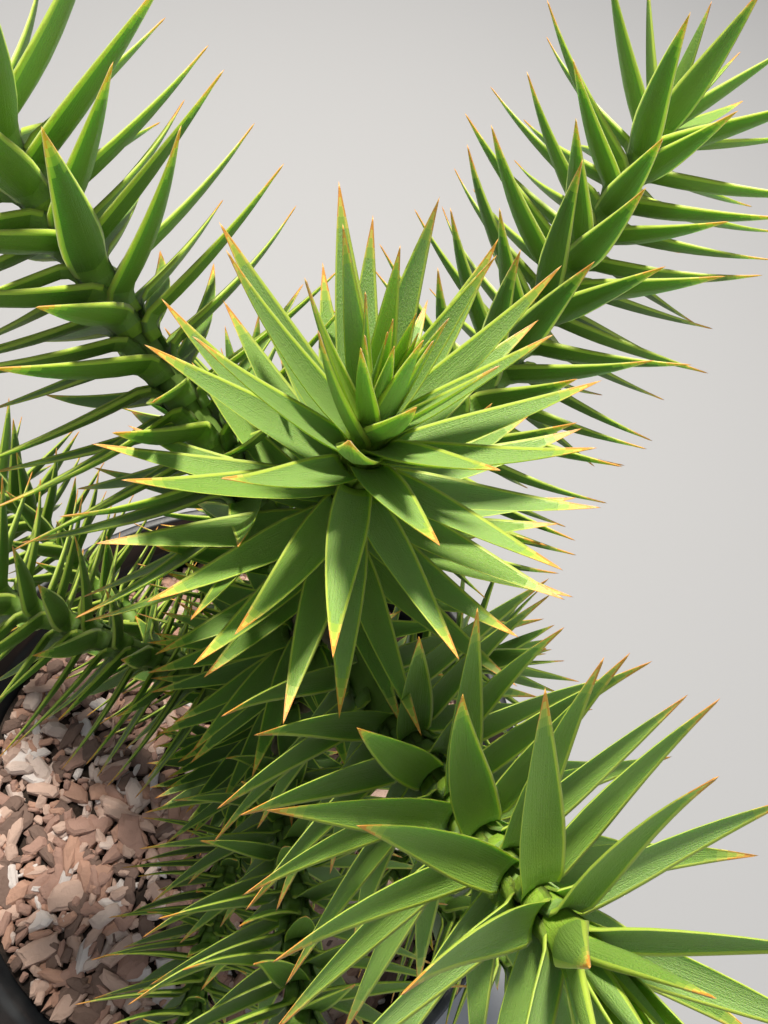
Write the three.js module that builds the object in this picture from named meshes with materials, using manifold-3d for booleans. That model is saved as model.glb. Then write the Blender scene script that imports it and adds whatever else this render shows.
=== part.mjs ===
// A young monkey puzzle tree in its black nursery pot, under a layer of bark chips.
// Millimetres, +Z up. The origin is the centre of the pot's flat underside.
// Every shoot of the tree is one axis with stiff leaves set round it in a spiral. The pot, the potting mix,
// the chips, the trunk, each bough and each mass of leaves are separate solids.

import * as THREE from "three";
import { mergeVertices } from "three/addons/utils/BufferGeometryUtils.js";
import Module from "manifold-3d";

const wasm = await Module();
wasm.setup();

// Fit

const GAP = 0.3; // between solids that meet
const GOLDEN_ANGLE = THREE.MathUtils.degToRad(137.508);
const SEED = 7;

// Pot and what fills it

const POT = {
  baseRadius: 114,
  shoulderRadius: 140,
  rimRadius: 150,
  height: 262,
  bandHeight: 36, // the wider band under the rim
  wall: 2.5,
  footHeight: 4, // where the wall has cleared the edge of the underside
  step: 3.5, // how far the band stands out from the wall
  lipHeight: 7,
  chamfer: 2,
  sides: 40,
};
const DRAIN = { count: 6, radius: 7, height: 11, length: 20, sides: 6 };
const MIX_TOP = 211;
const CHIPS_TOP = 221; // the ground level at the trunk
const CHIPS_FALL = 3; // how much lower the chips lie at the wall
const CHIP = {
  count: 28,
  length: 24,
  width: 12,
  thickness: 6,
  smallest: 0.7, // as a share of those sizes
  largest: 1.2,
  tilt: 0.25, // in radians, at most
  clearOfTrunk: 24,
  spread: 118,
};

// Trunk

const TRUNK = {
  height: 292, // from the ground to where the leader takes over
  lean: new THREE.Vector2(40, 14), // how far its top stands from its foot
  sway: 4, // how far it bows between foot and top
  footRadius: 7.4,
  topRadius: 4.0,
  flareRadius: 3.6, // added at the ground
  flareHeight: 9,
  buried: 8, // how far under the ground it starts, before it is cut off there
  sides: 10,
  steps: 14,
};
const LEADER_LENGTH = 46; // the leafy stem above the trunk

// Boughs. Each whorl is a ring of shoots. An azimuth is measured from +X towards +Y, and a pitch from
// the level.

const WHORLS = [
  {
    name: "low",
    bough: { length: 30, radius: 4.6 },
    leaf: 40,
    shoots: [
      { height: 86, azimuth: 76, length: 170, pitch: [18, 12] },
      { height: 92, azimuth: 150, length: 178, pitch: [22, 10] },
      { height: 87, azimuth: 272, length: 144, pitch: [10, 20] },
      { height: 91, azimuth: 332, length: 150, pitch: [12, 16] },
    ],
  },
  {
    name: "middle",
    bough: { length: 24, radius: 4.2 },
    leaf: 44,
    shoots: [
      { height: 163, azimuth: 20, length: 84, pitch: [26, 14] },
      { height: 169, azimuth: 112, length: 116, pitch: [30, 16] },
      { height: 164, azimuth: 176, length: 126, pitch: [24, 18] },
      { height: 168, azimuth: 288, length: 128, pitch: [20, 26] },
    ],
  },
  {
    name: "top",
    bough: { length: 20, radius: 3.8 },
    leaf: 48,
    shoots: [
      { height: 254, azimuth: 64, length: 174, pitch: [6, 42] },
      { height: 260, azimuth: 148, length: 140, pitch: [45, 34] },
      { height: 256, azimuth: 310, length: 114, pitch: [12, 51] },
    ],
  },
];
const BOUGH_TAPER = 0.86;
const BOUGH_SIDES = 7;

// Foliage

const SHOOT_STEM = { rootRadius: 4.2, tipRadius: 2.2, sides: 5, steps: 3 };
const SLEEVE = { thickness: 3.2, belowWhorl: 9, aboveWhorl: 10, foot: 44, rootDepth: 1.2, sides: 7 };
const LEAF = { length: 48, width: 11.5, baseWidth: 3.4, thickness: 2.4, widestAt: 0.28 };
const ROOT_DEPTH = 0.6; // how far from the axis of a stem a leaf starts
const LEAF_CLEARANCE = 0.35; // a leaf that comes nearer than this to another solid is skipped

// How leaves open, in degrees from their stem: oldest is the angle that they reach, reach is how far
// below the tip they have mostly opened, and droop is what each further millimetre adds.
const LEADER_HABIT = { oldest: 90, reach: 14, sharpness: 1.05, droop: 0 };
const SHOOT_HABIT = { oldest: 80, reach: 8, sharpness: 1.6, droop: 0.03 };
const TRUNK_LEAF_ANGLE = 94;
const TRUNK_LEAF_LENGTH = 40;
// How a leaf's length grows below the tip, from a share of a full leaf
const GROWTH = { youngest: 0.35, reach: 6, sharpness: 1.5 };
// How far it is along the axis from one leaf to the next, and how much closer they stand near the tip
const SPACING = { leader: 1.6, shoot: 3.45, trunk: 2.7 };
const CROWDING = { share: 0.72, reach: 9 };
const JITTER = { angle: 7, turn: 6, length: 0.09 };

const COLOURS = {
  pot: [0x17191b, 0.55],
  potting: [0x2a1d15, 0.95],
  bark: [0x8a6148, 0.9],
  trunk: [0x6b5138, 0.85],
  bough: [0x4d6b24, 0.7],
  leaves: [0x4c8a2a, 0.45],
};

// Seeded random numbers

function randomFrom(seed) {
  let state = seed >>> 0;
  return () => {
    state = (state + 0x6d2b79f5) >>> 0;
    let t = Math.imul(state ^ (state >>> 15), 1 | state);
    t = (t + Math.imul(t ^ (t >>> 7), 61 | t)) ^ t;
    return ((t ^ (t >>> 14)) >>> 0) / 4294967296;
  };
}

// Solids and meshes

function solidOf(geometry) {
  const bare = geometry.clone();
  bare.deleteAttribute("normal");
  bare.deleteAttribute("uv");
  const merged = mergeVertices(bare, 1e-4);
  return new wasm.Manifold(
    new wasm.Mesh({
      numProp: 3,
      vertProperties: new Float32Array(merged.attributes.position.array),
      triVerts: new Uint32Array(merged.index.array),
    }),
  );
}

// The largest body of a solid, without loose scraps or sealed hollows.
function largestBody(solid) {
  return solid.decompose().reduce((a, b) => (b.volume() > a.volume() ? b : a));
}

function meshOf(name, solid, [colour, roughness]) {
  const mesh = solid.getMesh();
  const geometry = new THREE.BufferGeometry();
  const points = new Float32Array(mesh.numVert * 3);
  for (let i = 0; i < mesh.numVert; i++) {
    points.set(mesh.vertProperties.subarray(i * mesh.numProp, i * mesh.numProp + 3), i * 3);
  }
  geometry.setAttribute("position", new THREE.BufferAttribute(points, 3));
  geometry.setIndex(new THREE.BufferAttribute(new Uint32Array(mesh.triVerts), 1));
  const made = new THREE.Mesh(geometry, new THREE.MeshStandardMaterial({ color: colour, roughness }));
  made.name = name;
  return made;
}

// Axes. An axis gives the point, direction and two cross directions at a distance along it.

function frame(point, along, reference) {
  const side = new THREE.Vector3().crossVectors(along, reference).normalize();
  const up = new THREE.Vector3().crossVectors(side, along).normalize();
  return { point, along, side, up };
}

function trunkPoint(height) {
  const share = height / TRUNK.height;
  const bow = TRUNK.sway * Math.sin(Math.PI * share);
  const { x, y } = TRUNK.lean;
  return new THREE.Vector3(x * share + bow, y * share - bow, CHIPS_TOP + GAP + height);
}

function trunkAxis(from) {
  const ahead = 0.5;
  return (distance) => {
    const point = trunkPoint(from + distance);
    const along = trunkPoint(from + distance + ahead).sub(point).normalize();
    return frame(point, along, new THREE.Vector3(0, 1, 0));
  };
}

// A shoot leaves the trunk at a height and bends evenly from its first pitch to its last.
function shootAxis({ height, azimuth, length, pitch }) {
  const heading = THREE.MathUtils.degToRad(azimuth);
  const [first, last] = pitch.map(THREE.MathUtils.degToRad);
  const bend = (last - first) / length;
  const start = trunkPoint(height);
  return (distance) => {
    const now = first + bend * distance;
    const out = (Math.sin(now) - Math.sin(first)) / bend;
    const rise = (Math.cos(first) - Math.cos(now)) / bend;
    const level = new THREE.Vector3(Math.cos(heading), Math.sin(heading), 0);
    const point = level.clone().multiplyScalar(out).setZ(rise);
    const along = level.clone().multiplyScalar(Math.cos(now)).setZ(Math.sin(now));
    return frame(point.add(start), along, new THREE.Vector3(0, 0, 1));
  };
}

// A tapering limb along an axis, from one distance to another.
function limb(axis, from, to, radiusAt, sides, steps) {
  const geometry = new THREE.CylinderGeometry(1, 1, to - from, sides, steps);
  const places = geometry.attributes.position;
  for (let i = 0; i < places.count; i++) {
    const distance = from + (to - from) / 2 + places.getY(i);
    const radius = radiusAt(distance);
    const { point, side, up } = axis(distance);
    point.addScaledVector(side, places.getX(i) * radius).addScaledVector(up, -places.getZ(i) * radius);
    places.setXYZ(i, point.x, point.y, point.z);
  }
  const solid = solidOf(geometry);
  return solid.volume() > 0 ? solid : flipped(geometry);
}

function flipped(geometry) {
  const turned = geometry.clone();
  const index = turned.index;
  for (let i = 0; i < index.count; i += 3) {
    const second = index.getX(i + 1);
    index.setX(i + 1, index.getX(i + 2));
    index.setX(i + 2, second);
  }
  return solidOf(turned);
}

// Pot, mix and chips

function wallRadius(z) {
  const { baseRadius, shoulderRadius, height, bandHeight } = POT;
  return baseRadius + ((shoulderRadius - baseRadius) * z) / (height - bandHeight);
}

function makePot() {
  const { rimRadius, height, bandHeight, wall, footHeight, step, lipHeight, chamfer, sides } = POT;
  const shoulder = height - bandHeight;
  const band = wallRadius(shoulder) + step;
  const profile = [
    [0, 0],
    [wallRadius(0), 0],
    [wallRadius(footHeight) + wall, footHeight],
    [wallRadius(shoulder) + wall, shoulder],
    [band + wall, shoulder + step],
    [band + wall + 1, height - lipHeight],
    [rimRadius, height - lipHeight],
    [rimRadius, height - chamfer],
    [rimRadius - chamfer, height],
    [band + 1, height],
    [band, shoulder + step],
    [wallRadius(shoulder), shoulder],
    [wallRadius(wall), wall],
    [0, wall],
  ].map(([r, z]) => new THREE.Vector2(r, z));
  const lathe = new THREE.LatheGeometry(profile, sides).rotateX(Math.PI / 2);
  let pot = solidOf(lathe);
  for (let i = 0; i < DRAIN.count; i++) {
    const hole = new THREE.CylinderGeometry(DRAIN.radius, DRAIN.radius, DRAIN.length, DRAIN.sides)
      .rotateZ(Math.PI / 2)
      .translate(wallRadius(DRAIN.height), 0, DRAIN.height)
      .rotateZ(((i + 0.5) / DRAIN.count) * 2 * Math.PI);
    pot = pot.subtract(solidOf(hole));
  }
  return pot;
}

function lathed(profile) {
  const points = profile.map(([r, z]) => new THREE.Vector2(r, z));
  return solidOf(new THREE.LatheGeometry(points, POT.sides).rotateX(Math.PI / 2));
}

function makeMix() {
  const floor = POT.wall + GAP;
  return lathed([
    [0, floor],
    [wallRadius(floor) - 2 * GAP, floor],
    [wallRadius(MIX_TOP) - 2 * GAP, MIX_TOP],
    [0, MIX_TOP],
  ]);
}

function makeChips(random) {
  const floor = MIX_TOP + GAP;
  const edge = CHIPS_TOP - CHIPS_FALL;
  let layer = lathed([
    [0, floor],
    [wallRadius(floor) - 2 * GAP, floor],
    [wallRadius(edge) - 2 * GAP, edge],
    [CHIP.clearOfTrunk, CHIPS_TOP],
    [0, CHIPS_TOP],
  ]);
  const nearest = CHIP.clearOfTrunk + CHIP.length / 2;
  const tilted = () => CHIP.tilt * (2 * random() - 1);
  for (let i = 0; i < CHIP.count; i++) {
    const radius = nearest + (CHIP.spread - nearest) * Math.sqrt((i + 0.5) / CHIP.count);
    const size = THREE.MathUtils.lerp(CHIP.smallest, CHIP.largest, random());
    const tilt = new THREE.Euler(tilted(), tilted(), Math.PI * random());
    const chip = new THREE.BoxGeometry(CHIP.length * size, CHIP.width * size, CHIP.thickness)
      .applyMatrix4(new THREE.Matrix4().makeRotationFromEuler(tilt))
      .translate(radius, 0, CHIPS_TOP - CHIPS_FALL * (radius / CHIP.spread))
      .rotateZ(i * GOLDEN_ANGLE);
    layer = layer.add(solidOf(chip));
  }
  return largestBody(layer);
}

// Trunk and boughs

function trunkRadius(height) {
  const share = height / TRUNK.height;
  const flare = TRUNK.flareRadius * Math.exp(-height / TRUNK.flareHeight);
  return TRUNK.footRadius + (TRUNK.topRadius - TRUNK.footRadius) * share + flare;
}

// The trunk, made thicker by grow, and cut off flat at ground level
function trunkLimb(grow) {
  const { height, buried, sides, steps } = TRUNK;
  const radiusAt = (h) => trunkRadius(Math.max(h, 0)) + grow;
  const whole = limb(trunkAxis(0), -buried, height + grow, radiusAt, sides, steps);
  return whole.trimByPlane([0, 0, 1], CHIPS_TOP + GAP);
}

function makeBough({ length, radius }, shoot, grow = 0) {
  const radiusAt = (s) => radius * (1 - ((1 - BOUGH_TAPER) * s) / length) + grow;
  return limb(shootAxis(shoot), 0, length + grow, radiusAt, BOUGH_SIDES, 2);
}

// Leaves

// A stiff leaf with a flat face, a keel and a sharp tip. It points along one direction, and its face looks
// along another.
function leafSolid(root, along, face, length, grow = 0) {
  const across = new THREE.Vector3().crossVectors(along, face).normalize();
  const at = (distance, sideways, lift) => {
    const point = root.clone().addScaledVector(along, distance);
    return point.addScaledVector(across, sideways).addScaledVector(face, lift);
  };
  const size = (length / LEAF.length) ** 0.8;
  const half = (LEAF.width * size) / 2 + grow;
  const baseHalf = (LEAF.baseWidth * size) / 2 + grow;
  const points = [
    at(-grow, -baseHalf, grow),
    at(-grow, baseHalf, grow),
    at(-grow, 0, -LEAF.thickness - grow),
    at(length * LEAF.widestAt, -half, grow),
    at(length * LEAF.widestAt, half, grow),
    at(length + 2 * grow, 0, 0),
  ];
  const faces = [
    [0, 2, 1],
    [0, 4, 3],
    [0, 1, 4],
    [3, 4, 5],
    [0, 3, 2],
    [2, 3, 5],
    [1, 2, 4],
    [2, 5, 4],
  ];
  return solidOf(new THREE.BufferGeometry().setFromPoints(points).setIndex(faces.flat()));
}

// How open and how long a leaf is, and how far it is to the next, by its distance below its shoot's tip
const opened = (below, reach, sharpness) => 1 - Math.exp(-((below / reach) ** sharpness));
const openAngle = ({ oldest, reach, sharpness, droop }) => (below) =>
  oldest * opened(below, reach, sharpness) + droop * below;
const leafLength = (full) => (below) =>
  full * (GROWTH.youngest + (1 - GROWTH.youngest) * opened(below, GROWTH.reach, GROWTH.sharpness));
const crowded = (below) => 1 - CROWDING.share * Math.exp(-below / CROWDING.reach);

// Leaves in a spiral along an axis. Each one is offered to add(), which fuses or skips it.
function growLeaves({ axis, from, to, tip, spacing, rootRadius, angle, length, random, add }) {
  let distance = to - spacing / 3;
  for (let i = 0; distance > from; i++) {
    const below = tip - distance;
    const turn = i * GOLDEN_ANGLE + THREE.MathUtils.degToRad(JITTER.turn * (2 * random() - 1));
    const open = THREE.MathUtils.degToRad(angle(below) + JITTER.angle * (2 * random() - 1));
    const size = length(below) * (1 - JITTER.length * random());
    const { point, along, side, up } = axis(distance);
    const out = side.clone().multiplyScalar(Math.cos(turn)).addScaledVector(up, Math.sin(turn));
    const heading = along.clone().multiplyScalar(Math.cos(open)).addScaledVector(out, Math.sin(open));
    const face = along.clone().multiplyScalar(Math.sin(open)).addScaledVector(out, -Math.cos(open));
    const root = point.clone().addScaledVector(out, rootRadius(distance));
    add(root, heading, face, size);
    distance -= spacing * crowded(below);
  }
}

// A mass of leaves on one stem. A leaf that would come near any other solid is left out.
function makeMass(stem, others, growth) {
  let mass = stem;
  growLeaves({
    ...growth,
    add: (root, heading, face, size) => {
      const space = leafSolid(root, heading, face, size, LEAF_CLEARANCE);
      if (space.intersect(others).isEmpty()) mass = mass.add(leafSolid(root, heading, face, size));
    },
  });
  return mass;
}

// Every solid of the plant and its pot by name, limbs and stems first
const random = randomFrom(SEED);
const solids = new Map([
  ["pot", makePot()],
  ["potting_mix", makeMix()],
  ["bark_chips", makeChips(random)],
  ["trunk", trunkLimb(0)],
]);
const trunkSpace = trunkLimb(GAP);
const allBut = (name) => {
  const others = [...solids].filter(([other]) => other !== name);
  return wasm.Manifold.union(others.map(([, solid]) => solid));
};
const masses = [];

// Boughs, cut clear of the trunk and of the boughs before them
const limbSpaces = [trunkSpace];
for (const { name, bough, shoots } of WHORLS) {
  shoots.forEach((shoot, i) => {
    const clear = makeBough(bough, shoot).subtract(wasm.Manifold.union(limbSpaces));
    solids.set(`bough_${name}_${i + 1}`, largestBody(clear));
    limbSpaces.push(makeBough(bough, shoot, GAP));
  });
}

// The leader carries on from the trunk
const leaderAxis = trunkAxis(TRUNK.height + GAP);
const leaderTaper = (SHOOT_STEM.tipRadius - TRUNK.topRadius) / LEADER_LENGTH;
const leaderRadius = (s) => TRUNK.topRadius + leaderTaper * s;
solids.set("leaves_leader", limb(leaderAxis, 0, LEADER_LENGTH, leaderRadius, SHOOT_STEM.sides, 2));
masses.push({
  name: "leaves_leader",
  axis: leaderAxis,
  from: 0,
  to: LEADER_LENGTH,
  tip: LEADER_LENGTH,
  spacing: SPACING.leader,
  rootRadius: () => ROOT_DEPTH,
  angle: openAngle(LEADER_HABIT),
  length: leafLength(LEAF.length),
});

// Each shoot carries on from its bough
for (const { name, bough, leaf, shoots } of [...WHORLS].reverse()) {
  shoots.forEach((shoot, i) => {
    const axis = shootAxis(shoot);
    const from = bough.length + GAP;
    const to = shoot.length;
    const { rootRadius, tipRadius, sides, steps } = SHOOT_STEM;
    const radiusAt = (s) => rootRadius + ((tipRadius - rootRadius) * (s - from)) / (to - from);
    solids.set(`leaves_${name}_${i + 1}`, limb(axis, from, to, radiusAt, sides, steps));
    masses.push({
      name: `leaves_${name}_${i + 1}`,
      axis,
      from,
      to,
      tip: to,
      spacing: SPACING.shoot,
      rootRadius: () => ROOT_DEPTH,
      angle: openAngle(SHOOT_HABIT),
      length: leafLength(leaf),
    });
  });
}

// Leaves round the trunk between the whorls, on a sleeve that is cut clear of it and of the boughs
const rings = WHORLS.map(({ shoots }) => shoots.map(({ height }) => height));
rings.concat([[TRUNK.height]]).forEach((ring, i) => {
  const from = i ? Math.max(...rings[i - 1]) + SLEEVE.aboveWhorl : SLEEVE.foot;
  const to = Math.min(...ring) - (i < rings.length ? SLEEVE.belowWhorl : 0);
  const core = limb(trunkAxis(0), from, to, (h) => trunkRadius(h) + SLEEVE.thickness, SLEEVE.sides, 2);
  const clear = core.subtract(wasm.Manifold.union(limbSpaces));
  solids.set(`leaves_trunk_${i + 1}`, largestBody(clear));
  masses.push({
    name: `leaves_trunk_${i + 1}`,
    axis: trunkAxis(0),
    from: from + 2,
    to: to - 2,
    tip: TRUNK.height + LEADER_LENGTH,
    spacing: SPACING.trunk,
    rootRadius: (h) => trunkRadius(h) + SLEEVE.rootDepth,
    angle: () => TRUNK_LEAF_ANGLE,
    length: () => TRUNK_LEAF_LENGTH,
  });
});

for (const mass of masses) {
  const grown = makeMass(solids.get(mass.name), allBut(mass.name), { ...mass, random });
  solids.set(mass.name, largestBody(grown));
}

const colourOf = (name) => COLOURS[name.split("_")[0]];
const tree = new THREE.Group();
for (const [name, solid] of solids) tree.add(meshOf(name, solid, colourOf(name)));

export default tree;
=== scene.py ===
"""A young monkey puzzle tree in a black nursery pot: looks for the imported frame.

The trunk, shoots and leaves are worked out by the same rule as the solids, with finer steps. Sizes are in
millimetres and degrees until a mesh is made.
"""
import math

import bmesh
import bpy
import numpy as np
from mathutils import Matrix, Vector, noise


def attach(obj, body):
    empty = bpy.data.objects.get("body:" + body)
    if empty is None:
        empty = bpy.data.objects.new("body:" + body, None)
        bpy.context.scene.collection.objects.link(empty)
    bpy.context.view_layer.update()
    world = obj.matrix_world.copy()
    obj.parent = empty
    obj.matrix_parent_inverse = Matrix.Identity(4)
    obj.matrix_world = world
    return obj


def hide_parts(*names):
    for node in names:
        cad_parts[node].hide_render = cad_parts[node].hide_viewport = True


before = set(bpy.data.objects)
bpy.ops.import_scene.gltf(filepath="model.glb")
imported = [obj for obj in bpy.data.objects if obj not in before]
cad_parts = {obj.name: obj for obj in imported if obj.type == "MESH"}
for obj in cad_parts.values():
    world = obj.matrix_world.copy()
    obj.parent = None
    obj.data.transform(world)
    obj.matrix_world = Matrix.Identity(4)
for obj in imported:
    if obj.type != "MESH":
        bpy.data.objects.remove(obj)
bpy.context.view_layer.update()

MM = 0.001
SEED = 7
GOLDEN_ANGLE = math.radians(137.508)
rng = np.random.default_rng(SEED)

# Sizes shared with the solids

GAP = 0.3
MIX_TOP = 211
CHIPS_TOP = 221
CHIPS_FALL = 3
POT = dict(base=114, shoulder=140, rim=150, height=262, band=36, wall=2.5, foot=4, step=3.5, lip=7)
DRAIN = dict(count=6, radius=7, height=11, length=20, sides=24)
TRUNK = dict(height=292, lean=(40, 14), sway=4, foot=7.4, top=4.0, flare=3.6, flare_height=9)
LEADER_LENGTH = 46
# A whorl has the length and radius of its boughs, the length of its leaves, and for each shoot its height
# on the trunk, its direction, its length, and its slope where it starts and where it ends
WHORLS = {
    "low": dict(
        bough=(30, 4.6),
        leaf=40,
        shoots=[
            (86, 76, 170, 18, 12),
            (92, 150, 178, 22, 10),
            (87, 272, 144, 10, 20),
            (91, 332, 150, 12, 16),
        ],
    ),
    "middle": dict(
        bough=(24, 4.2),
        leaf=44,
        shoots=[
            (163, 20, 84, 26, 14),
            (169, 112, 116, 30, 16),
            (164, 176, 126, 24, 18),
            (168, 288, 128, 20, 26),
        ],
    ),
    "top": dict(
        bough=(20, 3.8),
        leaf=48,
        shoots=[
            (254, 64, 174, 6, 42),
            (260, 148, 140, 45, 34),
            (256, 310, 114, 12, 51),
        ],
    ),
}
BOUGH_TAPER = 0.86
SLEEVE = dict(below=9, above=10, foot=44)

# The finer growth that only this script makes

STEM = (4.0, 1.9)  # the radius of a shoot's green stem where it leaves its bough, and at its end
LEAF_LENGTH = 48
LEAF_HALF_WIDTH = dict(leader=4.3, shoot=4.7)
LEADER_HABIT = dict(oldest=90, reach=14, sharpness=1.05, droop=0)
SHOOT_HABIT = dict(oldest=80, reach=8, sharpness=1.6, droop=0.03)
TRUNK_LEAF_ANGLE = 94
TRUNK_LEAF_LENGTH = 40
GROWTH = dict(youngest=0.35, reach=6, sharpness=1.5)  # the youngest leaf's share of the full length
SPACING = dict(leader=0.85, shoot=1.4, trunk=1.15)
CROWDING = dict(share=0.72, reach=9)
JITTER = dict(angle=7, turn=6, length=0.09, width=0.08, curl=10, roll=9, yaw=5, age=0.9, young=2)
CURL = dict(old=13, reach=12)  # how far an old leaf curls, and how far below the tip leaves have come to it
AGE_STEP = 18  # the length of shoot along which its leaves grow older by one
AGE = dict(leader=-0.8, top=0, middle=3, low=6, trunk=0)  # of a mass's newest leaves
TONE_ENDS = (0.8, 3, 7, 11)  # the ages at which a leaf turns to the next tone, past the young one
YOUNG_END = 4  # how far from the tip leaves stop being young
ROOT_SUNK = 0.5
LIMB_STEP = 2.0  # between the places where a limb is felt by leaves
LIMB_CLEARANCE = 1.6
LEAF_CLEARANCE = 2.2  # between the midribs of leaves of different shoots
TIP_CLEARANCE = 3.8  # between a leaf's tip and the midrib of a leaf of another shoot

# A point at this height above the trunk's top falls on this pixel of the picture, at this distance

CAMERA = dict(elevation=61, roll=12, distance=148, height=34, pixel=(366, 447))
IMAGE = (768, 1024)
LENS, SENSOR = 27, 36
CLIP = (0.005, 20)  # in metres


# Axes: each takes distances and gives points, directions and two cross directions


def framed(points, along, reference):
    side = np.cross(along, reference)
    side /= np.linalg.norm(side, axis=1, keepdims=True)
    up = np.cross(side, along)
    return points, along, side, up


def trunk_points(height):
    height = np.asarray(height, float)
    share = height / TRUNK["height"]
    bow = TRUNK["sway"] * np.sin(np.pi * share)
    return np.stack(
        [TRUNK["lean"][0] * share + bow, TRUNK["lean"][1] * share - bow, CHIPS_TOP + GAP + height], axis=1
    )


def trunk_axis(start):
    def at(distance):
        height = start + np.atleast_1d(np.asarray(distance, float))
        points = trunk_points(height)
        along = trunk_points(height + 0.5) - points
        along /= np.linalg.norm(along, axis=1, keepdims=True)
        return framed(points, along, (0, 1, 0))

    return at


def shoot_axis(shoot):
    height, azimuth, length, first, last = shoot
    heading = math.radians(azimuth)
    first, last = math.radians(first), math.radians(last)
    bend = (last - first) / length
    start = trunk_points([height])[0]
    level = np.array([math.cos(heading), math.sin(heading), 0])
    up = np.array([0, 0, 1.0])

    def at(distance):
        now = (first + bend * np.atleast_1d(np.asarray(distance, float)))[:, None]
        out = (np.sin(now) - math.sin(first)) / bend
        rise = (math.cos(first) - np.cos(now)) / bend
        return framed(start + level * out + up * rise, level * np.cos(now) + up * np.sin(now), (0, 0, 1))

    return at


def trunk_radius(height):
    height = np.maximum(height, 0)
    share = height / TRUNK["height"]
    flare = TRUNK["flare"] * np.exp(-height / TRUNK["flare_height"])
    return TRUNK["foot"] + (TRUNK["top"] - TRUNK["foot"]) * share + flare


# Meshes


def make_mesh(name, points, faces, slots, materials, smooth=True, uv=None):
    """Points are in millimetres. A triangle may come as a quad that repeats its last corner."""
    mesh = bpy.data.meshes.new(name)
    faces = [tuple(dict.fromkeys(int(i) for i in face)) for face in faces]
    mesh.from_pydata((np.asarray(points) * MM).tolist(), [], faces)
    for material in materials:
        mesh.materials.append(material)
    if slots is not None:
        mesh.polygons.foreach_set("material_index", np.asarray(slots, np.int32))
    mesh.polygons.foreach_set("use_smooth", np.full(len(mesh.polygons), smooth))
    if uv is not None:
        layer = mesh.uv_layers.new(name="grain")
        corner = np.empty(len(mesh.loops), np.int32)
        mesh.loops.foreach_get("vertex_index", corner)
        layer.data.foreach_set("uv", np.asarray(uv, np.float32)[corner].ravel())
    mesh.validate()
    mesh.update()
    piece = bpy.data.objects.new(name, mesh)
    bpy.context.scene.collection.objects.link(piece)
    return piece


def dress(piece, slot, *nodes):
    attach(piece, "root")
    if nodes:
        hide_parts(*nodes)
    return piece


def strips(rings, sides):
    """The quads between each ring of points and the next"""
    faces = []
    for i in range(rings - 1):
        for j in range(sides):
            k = (j + 1) % sides
            faces.append((i * sides + j, i * sides + k, (i + 1) * sides + k, (i + 1) * sides + j))
    return faces


def caps(rings, sides):
    """The triangles that close the first and last ring with the two points that follow all the rings"""
    faces = []
    last_ring = (rings - 1) * sides
    for j in range(sides):
        k = (j + 1) % sides
        faces.append((rings * sides, k, j))
        faces.append((rings * sides + 1, last_ring + j, last_ring + k))
    return faces


def as_quads(faces):
    return np.array([[*face, face[-1]][:4] for face in faces])


def tube(axis, distances, radius, sides, relief):
    """A closed tube round an axis, with relief on its wall"""
    points, _, side, up = axis(distances)
    turn = np.linspace(0, 2 * np.pi, sides, endpoint=False)
    out = side[:, None, :] * np.cos(turn)[None, :, None] + up[:, None, :] * np.sin(turn)[None, :, None]
    size = radius[:, None] + relief(distances[:, None], turn[None, :])
    wall = (points[:, None, :] + out * size[..., None]).reshape(-1, 3)
    faces = strips(len(distances), sides) + caps(len(distances), sides)
    return np.vstack([wall, points[0], points[-1]]), [face[::-1] for face in faces]


# Leaves. Shares of a leaf's length are counted from its foot.

NEAR_STATIONS = (0, 0.05, 0.1, 0.16, 0.22, 0.3, 0.4, 0.51, 0.62, 0.72)
FAR_STATIONS = (0.79, 0.84, 0.88, 0.915, 0.945, 0.975)
STATIONS = np.array(NEAR_STATIONS + FAR_STATIONS)
# Where the tip takes each of its colours along the midrib, and how much sooner its margins and the strips
# beside them do
TIP = (("orange", 0.955), ("gold", 0.935), ("yellow", 0.91), ("lime", 0.875), ("pale", 0.83))
SOONER = dict(margin=0.07, beside=0.03)
# Where the foot of the leaf is painted paler, by two tones and by one: a painted glow of light shining
# through the leaf's base
FOOT_GLOW = (("foot", 0.05), ("lower_glow", 0.14))
UPPER = (-1.0, None, -0.5, 0.0, 0.5, None, 1.0)  # None is where the pale margin begins
LOWER = (0.8, 0.4, 0.0, -0.4, -0.8)
MARGIN = 0.46
MARGIN_SHARES = (0.08, 0.3)  # of the half width that a margin may take
RING = len(UPPER) + len(LOWER)
MARGIN_START = 0.12
RAISED = dict(margin=0.1, beside=-0.05, tip=-0.1)  # how far the face is raised there
DECURRENT = 5.5  # how far a leaf's base runs along its stem before it bends away
SET_BACK = 0.8  # how much of that lies behind the leaf's place on the stem
BEND_END = 1.7  # where it has bent away, as a multiple of that
FOOT_WIDTH = 0.78
WIDEST = 0.34
SPINE = dict(width=0.1, length=0.12)
TWIST_START = 0.1
HOLLOW = 0.27  # the depth of the face, as a share of the half width
KEEL = dict(least=0.25, foot=1.15, end=0.9)  # a leaf's thickness at its middle
EDGE_THICKNESS = 0.35  # as a share of the keel's
POWERS = dict(foot=1.2, tip=1.32, hollow=0.3, keel=0.8, curl=1.5, width=0.9)  # of the curves of a leaf
UNDER_GRAIN = 20  # how far off the underside takes its grain
MIDRIB_POINTS = 61
FELT = slice(18, None, 6)  # the points of the midrib by which a leaf keeps clear
GRAIN_SPREAD = 400  # so that no two leaves have the same grain


def width_share(u):
    rising = FOOT_WIDTH + (1 - FOOT_WIDTH) * np.sin(np.clip(u / WIDEST, 0, 1) * np.pi / 2) ** POWERS["foot"]
    falling = 1 - np.clip((u - WIDEST) / (1 - WIDEST), 0, 1) ** POWERS["tip"]
    spine = SPINE["width"] * np.clip((1 - u) / SPINE["length"], 0, 1)
    return np.maximum(rising * falling, spine)


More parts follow.
